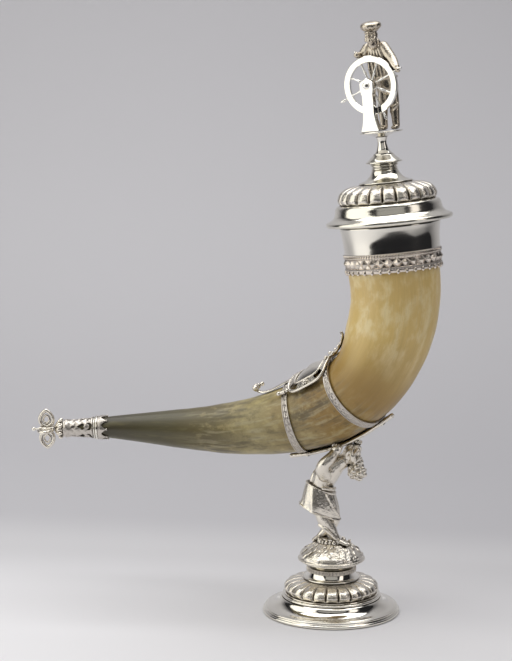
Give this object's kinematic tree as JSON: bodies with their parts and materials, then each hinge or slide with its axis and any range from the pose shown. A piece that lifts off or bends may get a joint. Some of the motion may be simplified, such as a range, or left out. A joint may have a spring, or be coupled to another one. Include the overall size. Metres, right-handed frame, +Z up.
{
  "type": "mounted drinking horn",
  "caption": "Polished cow horn mounted as a standing cup, carried by a bearded figure on a gadrooned foot, with a silver mouth and a lift-off lid topped by a helmsman at a ship's wheel.",
  "frame": {"origin": "centre of the foot's underside, on the surface it stands on", "axes": "+Z up; +X from the foot's axis towards the mouth, so the tip points along -X; +Y away from the side that faces the viewer"},
  "size_m": [0.3473, 0.1217, 0.4799],
  "materials": {
    "silver": "polished silver with a soft warm tarnish in its hollows",
    "frosted_silver": "matted and chased silver",
    "horn": "polished cow horn, dark olive at the tip and honey coloured at the mouth",
    "steel": "plain turned metal, hidden inside"
  },
  "bodies": {
    "stand": {"bearer_base": "silver", "bearer_head": "silver", "bearer_kilt": "silver", "bearer_left_arm": "silver", "bearer_left_leg": "silver", "bearer_right_arm": "silver", "bearer_right_leg": "silver", "bearer_torso": "silver", "cartouche_frame": "silver", "cartouche_plate": "silver", "foot_closing_plate": "steel", "foot_dish": "silver", "foot_gadroon_ring": "silver", "foot_step_ring": "silver", "foot_tie_nut": "steel", "foot_tie_rod": "steel", "foot_tie_washer": "steel", "front_strap": "frosted_silver", "front_strap_screw": "silver", "horn": "horn", "mouth_bead_ring": "frosted_silver", "mouth_collar": "silver", "mouth_dentil_ring": "frosted_silver", "mouth_frieze": "frosted_silver", "mouth_side_scroll": "silver", "rear_strap": "frosted_silver", "rear_strap_pin_far": "silver", "rear_strap_pin_near": "silver", "rear_strap_screw": "silver", "rock_mound": "frosted_silver", "saddle_bar": "silver", "socle": "silver", "socle_bead_ring": "frosted_silver", "tip_ball": "silver", "tip_collar": "silver", "tip_cross": "silver", "tip_crown": "frosted_silver", "tip_knot": "silver", "tip_side_scroll": "silver", "tip_sleeve": "frosted_silver"},
    "lid": {"helmsman_hat": "silver", "helmsman_head": "silver", "helmsman_left_arm": "silver", "helmsman_left_leg": "silver", "helmsman_right_arm": "silver", "helmsman_right_leg": "silver", "helmsman_torso": "silver", "lid_bezel": "silver", "lid_gadroon_ring": "silver", "lid_knop": "silver", "lid_neck": "silver", "lid_platform": "silver", "lid_shell": "silver", "lid_stem": "silver", "lid_tie_nut": "steel", "lid_tie_rod": "steel", "ship_wheel": "silver", "wheel_axle": "silver", "wheel_pedestal": "silver"}
  },
  "joints": [
    {"name": "lid_lift", "type": "slide", "parent": "stand", "child": "lid", "axis": [-0.1079, 0.0436, 0.9932], "range_m": [0, 0.09]}
  ]
}
